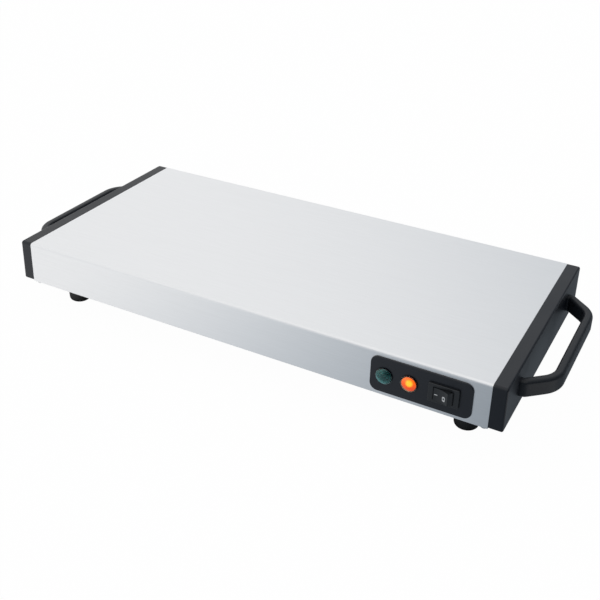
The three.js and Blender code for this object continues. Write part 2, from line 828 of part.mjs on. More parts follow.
// Heating element: one tube that runs to and fro under the heat spreader
function elementRoute() {
  const points = [];
  const bendRadius = elementPitch / 2;
  for (let run = 0; run < elementRuns; run++) {
    const y = run * elementPitch - elementSpread;
    const towards = run % 2 ? 1 : -1;
    if (run === 0) points.push(new THREE.Vector3(elementEnd, y, elementLevel));
    else points.push(new THREE.Vector3(-towards * elementBendX, y, elementLevel));
    if (run === elementRuns - 1) {
      points.push(new THREE.Vector3(elementEnd, y, elementLevel));
      break;
    }
    const middle = new THREE.Vector2(towards * elementBendX, y + bendRadius);
    const bend = arc(middle, bendRadius, -Math.PI / 2, -Math.PI / 2 + towards * Math.PI, 8).slice(0, -1);
    points.push(...bend.map((point) => new THREE.Vector3(point.x, point.y, elementLevel)));
  }
  return points;
}

// A strap bent down from its two tabs, round what it holds against the spreader
function hat(halfWidth, drop, thickness, tab) {
  const top = spreaderUnderside;
  return outline([
    [halfWidth + thickness + tab, top],
    [halfWidth, top],
    [halfWidth, top - drop],
    [-halfWidth, top - drop],
    [-halfWidth, top],
    [-halfWidth - thickness - tab, top],
    [-halfWidth - thickness - tab, top - thickness],
    [-halfWidth - thickness, top - thickness],
    [-halfWidth - thickness, top - drop - thickness],
    [halfWidth + thickness, top - drop - thickness],
    [halfWidth + thickness, top - thickness],
    [halfWidth + thickness + tab, top - thickness],
  ]);
}

function elementStrap() {
  const drop = elementGap + 2 * elementRadius + fitGap;
  const profile = hat(elementSpread + elementRadius + clearance, drop, strapThickness, strapTab);
  return alongX(prism(profile, strapWidth)).translate(-strapWidth / 2, 0, 0);
}

function fuseClip() {
  const profile = hat(fuseRadius + fitGap, 2 * (fuseRadius + fitGap), clipThickness, clipTab);
  return alongX(prism(profile, clipWidth)).translate(-clipWidth / 2, 0, 0);
}

function thermalFuse() {
  return alongX(
    turned([
      [0, -fuseLength / 2 - fuseWireLength],
      [fuseWire, -fuseLength / 2 - fuseWireLength],
      [fuseWire, -fuseLength / 2],
      [fuseRadius, -fuseLength / 2],
      [fuseRadius, fuseLength / 2],
      [fuseWire, fuseLength / 2],
      [fuseWire, fuseLength / 2 + fuseWireLength],
      [0, fuseLength / 2 + fuseWireLength],
    ]),
  );
}

// Thermostat: a metal cup against the spreader, a ceramic body and two tabs that hang from it
function thermostat() {
  const bottom = -thermostatHeight;
  const button = turned(
    [
      [0, bottom],
      [thermostatRadius - thermostatStep, bottom],
      [thermostatRadius - thermostatStep, -thermostatCup],
      [thermostatRadius, -thermostatCup],
      [thermostatRadius, 0],
      [0, 0],
    ],
    fineSides,
  );
  const tabs = signs.map((side) =>
    block(
      span(0, tabWidth),
      span((side * thermostatTabPitch) / 2, tabThickness),
      [bottom - tabLength, bottom + tabSeat],
    ),
  );
  return join(button, ...tabs);
}

function matRectangle() {
  return rectangle(matRight - matLeft, matDepth, 0, (matLeft + matRight) / 2, 0);
}

function insulationMat() {
  const hole = circle(thermostatHole, thermostatX, 0, fineSides);
  return prism(matRectangle(), matThickness, { holes: [hole] }).translate(0, 0, shieldTop);
}

// Heat shield: a bridge of sheet metal that stands on the base plate and carries the mat
function heatShield() {
  const half = matDepth / 2;
  const profile = outline([
    [half + sheet + shieldFoot, plateTop],
    [half + sheet + shieldFoot, plateTop + sheet],
    [half + sheet, plateTop + sheet],
    [half + sheet, shieldTop],
    [-half - sheet, shieldTop],
    [-half - sheet, plateTop + sheet],
    [-half - sheet - shieldFoot, plateTop + sheet],
    [-half - sheet - shieldFoot, plateTop],
    [-half, plateTop],
    [-half, shieldTop - sheet],
    [half, shieldTop - sheet],
    [half, plateTop],
  ]);
  const bridge = alongX(prism(profile, matRight - matLeft)).translate(matLeft, 0, 0);
  const hole = rod(thermostatHole, 2 * overrun, fineSides).translate(thermostatX, 0, shieldTop);
  return cut(bridge, hole);
}

// Terminal block: a ceramic block with two poles that run through it from front to rear
const poleLevel = plateTop + blockHeight / 2;

function terminalBlock() {
  const box = block(span(blockX, blockWidth), span(blockOffset, blockDepth), [plateTop, plateTop + blockHeight]);
  const poles = signs.map((side) =>
    facingFront(rod(poleRadius, blockDepth + 2 * overrun)).translate(
      blockX + (side * polePitch) / 2,
      blockOffset,
      poleLevel,
    ),
  );
  return cut(box, ...poles);
}

// Earth stud: a bolt through the base plate with its nut
function earthStud() {
  return turned([
    [0, -screwHeadHeight],
    [studNutRadius, -screwHeadHeight],
    [studNutRadius, 0],
    [studRadius, 0],
    [studRadius, sheet],
    [studNutRadius, sheet],
    [studNutRadius, sheet + studNutHeight],
    [studRadius, sheet + studNutHeight],
    [studRadius, sheet + studHeight],
    [0, sheet + studHeight],
  ]);
}

// An internal lead: straight at both ends, with one bend from terminal to terminal between them
function lead(from, leaving, to, arriving) {
  const start = leaving.clone().setLength(leadStraight).add(from);
  const end = arriving.clone().setLength(leadStraight).add(to);
  const curve = new THREE.CubicBezierCurve3(start, start.clone().add(leaving), end.clone().add(arriving), end);
  return tube([from, ...curve.getPoints(leadSteps), to], leadRadius, leadSides);
}

function point(x, y, z) {
  return new THREE.Vector3(x, y, z);
}

// A direction as shares of one length.
function towards(length, ...shares) {
  return new THREE.Vector3(...shares).multiplyScalar(length);
}

add("steel_cover", steelCover(), brushedSteel);
add("base_plate", basePlate(), plainSteel);
add("right_end_cap", endCap(), blackPlastic);
add("left_end_cap", endCap(), blackPlastic).rotation.z = Math.PI;
add("right_handle", handle(), blackPlastic);
add("left_handle", handle(), blackPlastic).rotation.z = Math.PI;

for (const [sideX, sideY] of corners) {
  const place = (sideY < 0 ? "front" : "rear") + (sideX < 0 ? "_left" : "_right");
  add("foot_" + place, foot(), blackRubber, sideX * footX, sideY * footY);
  const footScrewLength = plateTop + screwBite / 2 - footRecessDepth;
  add("foot_screw_" + place, screw(footScrewLength), plainSteel, sideX * footX, sideY * footY, footRecessDepth);
  const capScrewLength = spigotBottom - bodyBottom + screwBite;
  add("cap_screw_" + place, screw(capScrewLength), plainSteel, sideX * bossX, sideY * bossY, bodyBottom);
  const handleScrew = screw(capWall + screwBite).rotateY((sideX * Math.PI) / 2);
  const headX = sideX * (bodyEnd - capWall);
  add("handle_screw_" + place, handleScrew, plainSteel, headX, sideY * handleScrewY, handleLevel);
}

add("control_panel", controlPanel(), blackPlastic);
for (const [colour, x, look] of [
  ["green", greenX, greenLens],
  ["amber", amberX, amberLens],
]) {
  add(colour + "_lens", lens(), look, x, panelFace, controlLevel);
  add(colour + "_bulb", bulb(), clearGlass, x, panelFace, controlLevel);
  add(colour + "_lens_nut", lensNut(), plainSteel, x, panelFace, controlLevel);
}

add("switch_housing", switchHousing(), glossPlastic, switchX, 0, controlLevel);
add("switch_rocker", rocker(), glossPlastic, switchX, pivotY, controlLevel).rotation.z = -rockerHalfTravel;
add("switch_tab_live", switchTab(), brass, switchX - tabPitch / 2, 0, controlLevel);
add("switch_tab_load", switchTab(), brass, switchX + tabPitch / 2, 0, controlLevel);

add("mains_inlet", mainsInlet(), glossPlastic, inletX, 0, inletLevel);
for (const [name, [x, z]] of Object.entries(pinPlaces)) {
  add("inlet_pin_" + name, inletPin(), brass, inletX + x, 0, inletLevel + z);
}
for (const [name, side] of [
  ["left", -1],
  ["right", 1],
]) {
  const inletScrew = facingFront(screw(flangeThickness + sheet + screwBite));
  add("inlet_screw_" + name, inletScrew, plainSteel, inletX + (side * inletScrewSpread) / 2, inletFace, inletLevel);
}

const spreader = rectangle(2 * spreaderEnd, 2 * spreaderEdge);
add("heat_spreader", prism(spreader, spreaderThickness), spreaderAluminium, 0, 0, spreaderUnderside);
add("heating_element", tube(elementRoute(), elementRadius, 8), elementSteel);
for (const [name, side] of [
  ["front", -1],
  ["rear", 1],
]) {
  const pin = alongX(rod(coldPinRadius, coldPinLength)).translate(coldPinLength / 2 + elementGap, 0, 0);
  add("cold_pin_" + name, pin, plainSteel, elementEnd, side * elementSpread, elementLevel);
}
for (const [name, place] of [
  ["left", -1],
  ["middle", 0],
  ["right", 1],
]) {
  add("element_strap_" + name, elementStrap(), plainSteel, place * strapX);
}
add("thermostat", thermostat(), ceramic, thermostatX, 0, spreaderUnderside);
add("thermal_fuse", thermalFuse(), ceramic, fuseX, -elementPitch, spreaderUnderside - fuseRadius - fitGap);
add("fuse_clip", fuseClip(), plainSteel, fuseX, -elementPitch);
add("insulation_mat", insulationMat(), matFibre);
add("heat_shield", heatShield(), plainSteel);
add("terminal_block", terminalBlock(), ceramic);
add("earth_stud", earthStud(), brass, studX, studY, plateBottom);

// Where the leads end
const tabTip = front + switchBodyDepth + tabLength + clearance;
const tailTip = inletBack - pinTail - clearance;
const tailAt = ([x, z]) => point(inletX + x, tailTip, inletLevel + z);
const tabAt = (side) => point(switchX + (side * tabPitch) / 2, tabTip, controlLevel);
const poleAt = (pole, end) =>
  point(blockX + (pole * polePitch) / 2, blockOffset + end * (blockDepth / 2 - leadSeat), poleLevel);
const coldPinAt = (side) =>
  point(elementEnd + elementGap + coldPinLength + clearance, side * elementSpread, elementLevel);
const thermostatTabAt = (side) =>
  point(
    thermostatX,
    (side * thermostatTabPitch) / 2,
    spreaderUnderside - thermostatHeight - tabLength - clearance,
  );
const studTop = point(studX, studY, plateBottom + sheet + studHeight + clearance);

const inward = towards(leadReach, 0, 1, 0);
const outward = towards(leadReach, 0, -1, 0);
const below = towards(leadTurn, 0, 0, -1);
const leads = {
  live_lead: [tailAt(pinPlaces.live), outward, tabAt(-1), towards(leadReach, 0, 1, leadRise)],
  switched_lead: [tabAt(1), towards(leadReach, 0, 1, -leadRise), thermostatTabAt(-1), below],
  thermostat_lead: [thermostatTabAt(1), below, poleAt(-1, 1), inward],
  element_lead: [poleAt(-1, -1), outward, coldPinAt(-1), towards(leadTurn, 1, 0, 0)],
  return_lead: [poleAt(1, -1), outward, coldPinAt(1), towards(leadReach, 1, 0, 0)],
  neutral_lead: [tailAt(pinPlaces.neutral), towards(leadTurn, 0, -1, 0), poleAt(1, 1), towards(leadTurn, 0, 1, 0)],
  earth_lead: [tailAt(pinPlaces.earth), towards(leadTurn, 0, -1, 0), studTop, towards(leadTurn, 0, 0, 1)],
};
for (const [name, ends] of Object.entries(leads)) {
  add(name, lead(...ends), leadSleeve);
}

export default tray;
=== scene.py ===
"""Looks of the electric food warmer tray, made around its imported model.

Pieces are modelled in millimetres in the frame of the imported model.
settle() turns a finished one into metres.
"""

import json
import math

import bmesh
import bpy
from mathutils import Matrix, Vector


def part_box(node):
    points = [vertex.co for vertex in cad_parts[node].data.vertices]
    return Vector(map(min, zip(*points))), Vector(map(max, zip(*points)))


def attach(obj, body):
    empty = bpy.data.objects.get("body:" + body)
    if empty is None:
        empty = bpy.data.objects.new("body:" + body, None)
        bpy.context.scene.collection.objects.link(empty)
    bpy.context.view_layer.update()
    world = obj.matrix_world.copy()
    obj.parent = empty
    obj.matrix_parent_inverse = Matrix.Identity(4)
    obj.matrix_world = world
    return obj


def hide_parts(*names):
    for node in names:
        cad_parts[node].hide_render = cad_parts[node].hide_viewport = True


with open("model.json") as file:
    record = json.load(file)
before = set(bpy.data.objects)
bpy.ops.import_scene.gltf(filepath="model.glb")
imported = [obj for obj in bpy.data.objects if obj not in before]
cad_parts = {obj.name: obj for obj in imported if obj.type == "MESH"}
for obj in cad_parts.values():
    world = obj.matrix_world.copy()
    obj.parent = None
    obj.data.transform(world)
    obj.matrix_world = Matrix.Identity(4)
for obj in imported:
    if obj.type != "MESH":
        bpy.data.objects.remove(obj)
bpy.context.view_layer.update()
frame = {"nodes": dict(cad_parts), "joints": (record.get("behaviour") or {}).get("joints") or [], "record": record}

METRE = 1000
NEAR = 0.05
STRAIGHT = 0.999
FACING = 0.9
OVER = 3


def corners(*names):
    """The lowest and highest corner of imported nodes, in millimetres."""
    boxes = [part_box(name) for name in names]
    low = Vector(min(box[0][k] for box in boxes) for k in range(3))
    high = Vector(max(box[1][k] for box in boxes) for k in range(3))
    return low * METRE, high * METRE


def centre(name):
    low, high = corners(name)
    return (low + high) / 2


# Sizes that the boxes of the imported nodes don't give
SHEET = 0.8
TOP_BEND = 2.2
HEM_BEND = 1.3
HEM_WIDTH = 9
SHEET_EDGE = 0.12
CAP_EDGE = 1.5
CAP_BOTTOM_CORNER = 1.7
CAP_SETBACK = 0.2
CAP_WALL = 2.2
COLLAR_WALL = 1.6
COLLAR_CORNER = 1
BOSS = 6.6
BOSS_HEIGHT = 10
HANDLE_THICKNESS = 7.1
HANDLE_EDGE = 2.5
HANDLE_START = 0.65
HANDLE_STUB = 2.6
HANDLE_STUB_BEND = 3.9
HANDLE_CORNER = 21
HANDLE_GRIP_SPREAD = 99.4
HANDLE_TURN_STEP = 1.6
HANDLE_TURN_STEPS = 4
FOOT_RADIUS = 9.3
FOOT_TOP_RADIUS = 10.6
FOOT_EDGE = 3.2
FOOT_RECESS_RADIUS = 4.6
FOOT_RECESS_DEPTH = 12
PANEL_PROUD = 1
PANEL_CORNER = 6
PANEL_EDGE = 0.6
PANEL_LIP = 1.4
PANEL_FIT = 0.3
PANEL_PLATE = 2.4
PANEL_PLUG_WALL = 1.6
LENS_RADIUS = 6.5
LENS_RIM = 1
LENS_DOME = 2.3
LENS_STEM = 4.9
LENS_BORE = 3.6
LENS_SHELL = 0.9
LENS_FLOOR = 0.4
LENS_EDGE = 0.15
BULB_TO_RIGHT = 0.7
BULB_UP = 1.6
BEZEL_PROUD = 1.8
BEZEL_CORNER = 1
BEZEL_EDGE = 0.5
SWITCH_BODY = (19.4, 13.4)
ROCKER_HEIGHT = 10
ROCKER_GAP = 0.35
ROCKER_HALF_CHORD = 5.6
ROCKER_RISE = 5.6
ROCKER_SCOOP = 0.9
ROCKER_TAIL = 2.6
ROCKER_EDGE = 0.35
ROCKER_TURN = math.radians(14)
PIVOT_RADIUS = 1.2
PIVOT_LENGTH = 0.8
MARK_PROUD = 0.04
MARK_ROOT = 0.3
MARK_LINE = 0.7
MARK_LENGTH = 3.4
MARK_CORNER = MARK_LINE / 3
RING_OUTER = (3.5, 3.9)
RING_HOLE = (1.4, 1.7)
ON_MARK_AT = (-3.9, -0.3)
OFF_MARK_AT = (2.3, -1.1)
FLANGE = 2.5
FLANGE_CORNER = 3
FLANGE_EDGE = 0.5
INLET_BODY = (27.4, 19.8)
SOCKET = (24.2, 16.4)
SOCKET_DEPTH = 17
SOCKET_CHAMFER = 4
INLET_EDGE = 0.2
SCREW_RADIUS = 1.5
SCREW_HEAD_RADIUS = 2.8
SCREW_HEAD = 1.8
SCREW_DOME = 1.08
SCREW_TIP = 0.45
CROSS_LENGTH = 3.2
CROSS_WIDTH = 0.7
CROSS_DEPTH = 1.1
FIT = 0.15

cover_low, cover_high = corners("steel_cover")
body_y = (cover_low.y + cover_high.y) / 2
front = cover_low.y
rear = cover_high.y
body_end = corners("right_end_cap")[1].x
rocker_pivot = Vector(frame["joints"][0]["pos_m"]) * METRE
rocker_radius = math.hypot(ROCKER_HALF_CHORD, ROCKER_RISE)


# Modelling by hand


def alone(piece):
    """Selects one piece and nothing else."""
    bpy.ops.object.select_all(action="DESELECT")
    piece.select_set(True)
    bpy.context.view_layer.objects.active = piece


def start(add, **settings):
    """Adds a primitive with nothing else selected and opens it for editing."""
    done()
    bpy.ops.object.select_all(action="DESELECT")
    add(**settings)
    bpy.ops.object.transform_apply(location=True, rotation=True, scale=True)
    bpy.ops.object.mode_set(mode="EDIT")
    return bpy.context.object


def done():
    """Closes the piece that is being edited."""
    if bpy.context.mode != "OBJECT":
        bpy.ops.object.mode_set(mode="OBJECT")


def block(low, high):
    low, high = Vector(low), Vector(high)
    return start(bpy.ops.mesh.primitive_cube_add, size=1, location=(low + high) / 2, scale=high - low)


def drum(radius, low, high, axis, sides):
    """A cylinder between two points that differ along Y or Z."""
    low, high = Vector(low), Vector(high)
    turn = {"Y": (math.pi / 2, 0, 0), "Z": (0, 0, 0)}[axis]
    return start(
        bpy.ops.mesh.primitive_cylinder_add,
        vertices=sides,
        radius=radius,
        depth=(high - low).length,
        location=(low + high) / 2,
        rotation=turn,
    )


def pick(kind, wanted):
    """Selects the edges or faces that wanted() accepts."""
    bpy.ops.mesh.select_mode(type=kind)
    bpy.ops.mesh.select_all(action="DESELECT")
    mesh = bmesh.from_edit_mesh(bpy.context.object.data)
    for part in {"EDGE": mesh.edges, "FACE": mesh.faces}[kind]:
        if wanted(part):
            part.select_set(True)
    bmesh.update_edit_mesh(bpy.context.object.data)


def runs(edge, axis):
    """Whether an edge lies along an axis."""
    along = edge.verts[1].co - edge.verts[0].co
    return abs(along["XYZ".index(axis)]) > STRAIGHT * along.length


def lies(part, axis, place):
    """Whether an edge or a face lies in a plane square to an axis."""
    return all(abs(vertex.co["XYZ".index(axis)] - place) < NEAR for vertex in part.verts)


def round_off(radius, segments):
    """Rounds the selected edges, or chamfers them with one segment."""
    bpy.ops.mesh.bevel(offset=radius, segments=segments, profile=0.5, affect="EDGES")


def push(x=0, y=0, z=0):
    """Extrudes the selected faces by a distance."""
    bpy.ops.mesh.extrude_region_move(TRANSFORM_OT_translate={"value": (x, y, z)})


def modify(piece, kind, **settings):
    """Adds a modifier with its settings and applies it."""
    done()
    alone(piece)
    bpy.ops.object.modifier_add(type=kind)
    modifier = piece.modifiers[-1]
    for name, value in settings.items():
        setattr(modifier, name, value)
    bpy.ops.object.modifier_apply(modifier=modifier.name)


def combine(piece, tool, operation="DIFFERENCE"):
    """Cuts a tool out of a piece, or joins it on, and removes the tool."""
    modify(piece, "BOOLEAN", operation=operation, object=tool, solver="EXACT")
    bpy.data.objects.remove(tool)


def bore(piece, radius, at, axis, low, high, sides):
    """Drills a round hole through a piece, along an axis from low to high."""
    ends = [at.copy(), at.copy()]
    for end, place in zip(ends, (low, high)):
        end["XYZ".index(axis)] = place
    combine(piece, drum(radius, *ends, axis, sides))


def upright_block(at, size, low_y, high_y, wider=0):
    """A block from low_y to high_y about a point, with a size across and up that may be wider all round."""
    half = Vector((size[0] / 2 + wider, 0, size[1] / 2 + wider))
    return block(Vector((at.x, low_y, at.z)) - half, Vector((at.x, high_y, at.z)) + half)


def soften(piece, width, segments, angle):
    """Rounds every edge that is sharper than an angle in degrees."""
    limit = math.radians(angle)
    modify(piece, "BEVEL", width=width, segments=segments, limit_method="ANGLE", angle_limit=limit)


def copy_of(piece, turn=0, move=(0, 0, 0)):
    """A copy with its own mesh, turned about the upright axis through the body's middle and moved."""
    done()
    alone(piece)
    bpy.ops.object.duplicate()
    if turn:
        bpy.ops.transform.rotate(value=turn, orient_axis="Z", center_override=(0, body_y, 0))
    bpy.ops.transform.translate(value=move)
    bpy.ops.object.transform_apply(location=True, rotation=True, scale=True)
    return bpy.context.object


def settle(piece, name, material, slot, *stands_for, body="tray", smooth=32):
    """Finishes a piece: its shading, its size in metres, its material and what it rides on."""
    done()
    alone(piece)
    piece.name = piece.data.name = name
    bpy.ops.object.shade_smooth_by_angle(angle=math.radians(smooth))
    modify(piece, "WEIGHTED_NORMAL", keep_sharp=True)
    piece.scale = (1 / METRE,) * 3
    bpy.ops.object.transform_apply(location=True, rotation=True, scale=True)
    piece.data.materials.clear()
    piece.data.materials.append(material)
    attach(piece, body)
    if stands_for:
        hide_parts(*stands_for)


# Finishes


def new_group(name, inputs, outputs):
    """A shader node group with number inputs, and its input and output nodes."""
    group = bpy.data.node_groups.new(name, "ShaderNodeTree")
    for socket, value in inputs.items():
        added = group.interface.new_socket(socket, in_out="INPUT", socket_type="NodeSocketFloat")
        added.default_value = value
    for socket, kind in outputs.items():
        group.interface.new_socket(socket, in_out="OUTPUT", socket_type="NodeSocket" + kind)
    return group, group.nodes.new("NodeGroupInput"), group.nodes.new("NodeGroupOutput")


def add_node(tree, kind, links=None, **settings):
    """Adds a node. Links map its input names or numbers to sockets or plain values."""
    node = tree.nodes.new("ShaderNode" + kind)
    for name, value in settings.items():
        setattr(node, name, value)
    for name, value in (links or {}).items():
        if isinstance(value, bpy.types.NodeSocket):
            tree.links.new(value, node.inputs[name])
        else:
            node.inputs[name].default_value = value
    return node


def fade(tree, value, start, end, low, high=1.0):
    """A smooth change from high before start to low past end."""
    return add_node(
        tree,
        "MapRange",
        {"Value": value, "From Min": start, "From Max": end, "To Min": high, "To Max": low},
        interpolation_type="SMOOTHSTEP",
    ).outputs[0]


def product(tree, *values):
    whole = values[0]
    for value in values[1:]:
        whole = add_node(tree, "Math", {0: whole, 1: value}, operation="MULTIPLY").outputs[0]
    return whole


def blend(tree, share, low, high):
    """The colour low where share is 0 and high where it is 1."""
    return add_node(tree, "Mix", {0: share, 6: low, 7: high}, data_type="RGBA").outputs[2]


def about_one(tree, noise, contrast):
    """Spreads the middle of a noise over the shades from 1 - contrast to 1 + contrast."""
    low = add_node(tree, "Math", {0: 1, 1: contrast}, operation="SUBTRACT").outputs[0]
    high = add_node(tree, "Math", {0: 1, 1: contrast}, operation="ADD").outputs[0]
    limits = {"From Min": NOISE_LOW, "From Max": NOISE_HIGH, "To Min": low, "To Max": high}
    return add_node(tree, "MapRange", {"Value": noise, **limits}).outputs[0]


def make_brushed_grain():
    """Long fine lines along X: a shade about 1, and a height for a bump."""
    tree, given, out = new_group(
        "brushed grain",
        {"Lines per metre": 2500, "Stretch": 60, "Contrast": 0.1},
        {"Shade": "Float", "Height": "Float"},
    )
    place = add_node(tree, "TexCoord").outputs["Object"]
    across = given.outputs["Lines per metre"]
    along = add_node(tree, "Math", {0: across, 1: given.outputs["Stretch"]}, operation="DIVIDE").outputs[0]
    scale = add_node(tree, "CombineXYZ", {"X": along, "Y": across, "Z": across}).outputs[0]
    scaled = add_node(tree, "VectorMath", {0: place, 1: scale}, operation="MULTIPLY").outputs[0]
    grain = {"Vector": scaled, "Scale": 1, "Detail": 2, "Roughness": 0.6}
    lines = add_node(tree, "TexNoise", grain).outputs["Fac"]
    tree.links.new(about_one(tree, lines, given.outputs["Contrast"]), out.inputs["Shade"])
    tree.links.new(lines, out.inputs["Height"])
    return tree


def make_moulded_skin():
    """The fine grain and soft wide unevenness of a moulded surface: a shade about 1, and a height."""
    tree, given, out = new_group(
        "moulded skin",
        {"Grains per metre": 1800, "Clouds per metre": 25, "Contrast": 0.1},
        {"Shade": "Float", "Height": "Float"},
    )
    place = add_node(tree, "TexCoord").outputs["Object"]
    fine = {"Vector": place, "Scale": given.outputs["Grains per metre"], "Randomness": 1}
    wide = {"Vector": place, "Scale": given.outputs["Clouds per metre"], "Detail": 3}
    grains = add_node(tree, "TexVoronoi", fine).outputs["Distance"]
    clouds = add_node(tree, "TexNoise", wide).outputs["Fac"]
    tree.links.new(about_one(tree, clouds, given.outputs["Contrast"]), out.inputs["Shade"])
    tree.links.new(grains, out.inputs["Height"])
    return tree


NOISE_LOW = 0.3
NOISE_HIGH = 0.7
BUMP_DEPTH = 0.0001
BRUSHED_GRAIN = make_brushed_grain()
MOULDED_SKIN = make_moulded_skin()


def principled(name, color, roughness, **sockets):
    """A material with one Principled shader, its plain values set, and its node tree."""
    material = bpy.data.materials.new(name)
    material.use_nodes = True
    material.diffuse_color = (*color, 1)
    tree = material.node_tree
    shader = tree.nodes["Principled BSDF"]
    shader.inputs["Base Color"].default_value = (*color, 1)
    shader.inputs["Roughness"].default_value = roughness
    for socket, value in sockets.items():
        shader.inputs[socket.replace("_", " ")].default_value = value
    return material, tree, shader


def dress(name, color, roughness, group, given, bump, **sockets):
    """A material whose colour, roughness and bump come from a group, about plain values."""
    material, tree, shader = principled(name, color, roughness, **sockets)
    effect = add_node(tree, "Group", node_tree=group)
    for socket, value in given.items():
        effect.inputs[socket].default_value = value
    shade = effect.outputs["Shade"]
    tint = add_node(tree, "VectorMath", {0: color, 1: shade}, operation="MULTIPLY")
    tree.links.new(tint.outputs[0], shader.inputs["Base Color"])
    tree.links.new(product(tree, shade, roughness), shader.inputs["Roughness"])
    height = effect.outputs["Height"]
    relief = add_node(tree, "Bump", {"Height": height, "Strength": bump, "Distance": BUMP_DEPTH})
    tree.links.new(relief.outputs[0], shader.inputs["Normal"])
    return material


def brushed(name, color, roughness, lines=2500, stretch=60, contrast=0.05, bump=0.1, **sockets):
    given = {"Lines per metre": lines, "Stretch": stretch, "Contrast": contrast}
    return dress(name, color, roughness, BRUSHED_GRAIN, given, bump, Metallic=1, **sockets)


def moulded(name, color, roughness, grains=1800, clouds=25, contrast=0.08, bump=0.1, **sockets):
    given = {"Grains per metre": grains, "Clouds per metre": clouds, "Contrast": contrast}
    return dress(name, color, roughness, MOULDED_SKIN, given, bump, **sockets)


satin_steel = brushed("satin steel", (0.812, 0.82, 0.832), 0.36, contrast=0.02, bump=0.06)
plated_steel = brushed("plated steel", (0.62, 0.63, 0.64), 0.38, lines=900, stretch=4, contrast=0.06)
cap_black = moulded("cap black", (0.0065, 0.009, 0.0145), 0.44, bump=0.15, Specular_IOR_Level=0.4)
handle_black = moulded("handle black", (0.013, 0.0155, 0.02), 0.42, bump=0.1, Specular_IOR_Level=0.3)
panel_black = moulded("panel black", (0.0085, 0.0105, 0.016), 0.34, bump=0.1, Specular_IOR_Level=0.45)
switch_black = moulded("switch black", (0.013, 0.0145, 0.017), 0.34, grains=2600, bump=0.05)
inlet_black = moulded("inlet black", (0.015, 0.015, 0.016), 0.45, bump=0.1)
foot_rubber = moulded("foot rubber", (0.012, 0.013, 0.013), 0.6, grains=900, bump=0.3)
white_print = moulded("white print", (0.62, 0.62, 0.62), 0.5, bump=0.05)
contact_brass = brushed("contact brass", (0.72, 0.55, 0.25), 0.3, lines=1500, stretch=8)
mill_aluminium = brushed("mill aluminium", (0.78, 0.79, 0.8), 0.35, lines=1200, stretch=30)
oxidised_sheath = brushed("oxidised sheath", (0.25, 0.24, 0.22), 0.5, lines=700, stretch=3, contrast=0.2)
white_ceramic = moulded("white ceramic", (0.8, 0.78, 0.72), 0.55, grains=1200, bump=0.2)
needled_mat = moulded("needled mat", (0.78, 0.75, 0.66), 0.95, grains=500, clouds=60, contrast=0.15, bump=1)
sleeving = moulded("sleeving", (0.7, 0.68, 0.6), 0.8, grains=1500, contrast=0.1, bump=0.6)
clear_bulb, _, _ = principled("clear bulb", (0.95, 0.95, 0.93), 0.03, Transmission_Weight=1, IOR=1.5)


# The glow behind the amber lens. Its heights and distances are in metres
LAMP_RED = (0.5, 0.055, 0.0)
LAMP_ORANGE = (0.72, 0.2, 0.02)
LAMP_YELLOW = (0.95, 0.8, 0.08)
LAMP_STRENGTH = 1.5
LAMP_YELLOW_REACH = (0.0014, 0.0034)
LAMP_RED_BELOW_BULB = 0.0045
LAMP_ORANGE_ABOVE_BULB = 0.002
FACETS_PER_METRE = 420


def between(tree, share, low, high):
    """A smooth row of colours from low, where share is 0, to high, where it is 1."""
    ramp = add_node(tree, "ValToRGB", {"Fac": share})
    for stop, color in zip(ramp.color_ramp.elements, (low, high)):
        stop.color = (*color, 1)
    return ramp.outputs[0]


def cut_facets(name, dark, bright):
    """The cut facets behind a lens, each with its own shade, and the material's node tree and shader."""
    material, tree, shader = principled(name, bright, 0.12, Coat_Weight=0.5)
    place = add_node(tree, "TexCoord").outputs["Object"]
    facets = add_node(tree, "TexVoronoi", {"Vector": place, "Scale": FACETS_PER_METRE, "Randomness": 0.8})
    tree.links.new(between(tree, facets.outputs["Color"], dark, bright), shader.inputs["Base Color"])
    return material, tree, shader


def make_green_core():
    material, _, _ = cut_facets("green core", dark=(0.0, 0.022, 0.022), bright=(0.006, 0.17, 0.16))
    return material


def make_amber_core(bulb):
    """Lit facets: yellow before the bulb, and elsewhere orange above and red below."""
    material, tree, shader = cut_facets("amber core", dark=(0.2, 0.01, 0.0), bright=(0.3, 0.05, 0.0))
    place = add_node(tree, "TexCoord").outputs["Object"]
    from_bulb = add_node(tree, "VectorMath", {0: place, 1: bulb}, operation="DISTANCE").outputs["Value"]
    height = add_node(tree, "SeparateXYZ", {0: place}).outputs["Z"]
    limits = {"From Min": bulb.z - LAMP_RED_BELOW_BULB, "From Max": bulb.z + LAMP_ORANGE_ABOVE_BULB}
    upper = add_node(tree, "MapRange", {"Value": height, **limits}).outputs[0]
    glow = between(tree, upper, LAMP_RED, LAMP_ORANGE)
    hot = fade(tree, from_bulb, *LAMP_YELLOW_REACH, 0.0)
    tree.links.new(blend(tree, hot, glow, (*LAMP_YELLOW, 1)), shader.inputs["Emission Color"])
    shader.inputs["Emission Strength"].default_value = LAMP_STRENGTH
    return material


def clear_lens(name, color):
    material, _, _ = principled(name, color, 0.03, Transmission_Weight=1, IOR=1.49)
    return material


# Cover: one sheet over the front, the top and the rear, with a hem under each long side


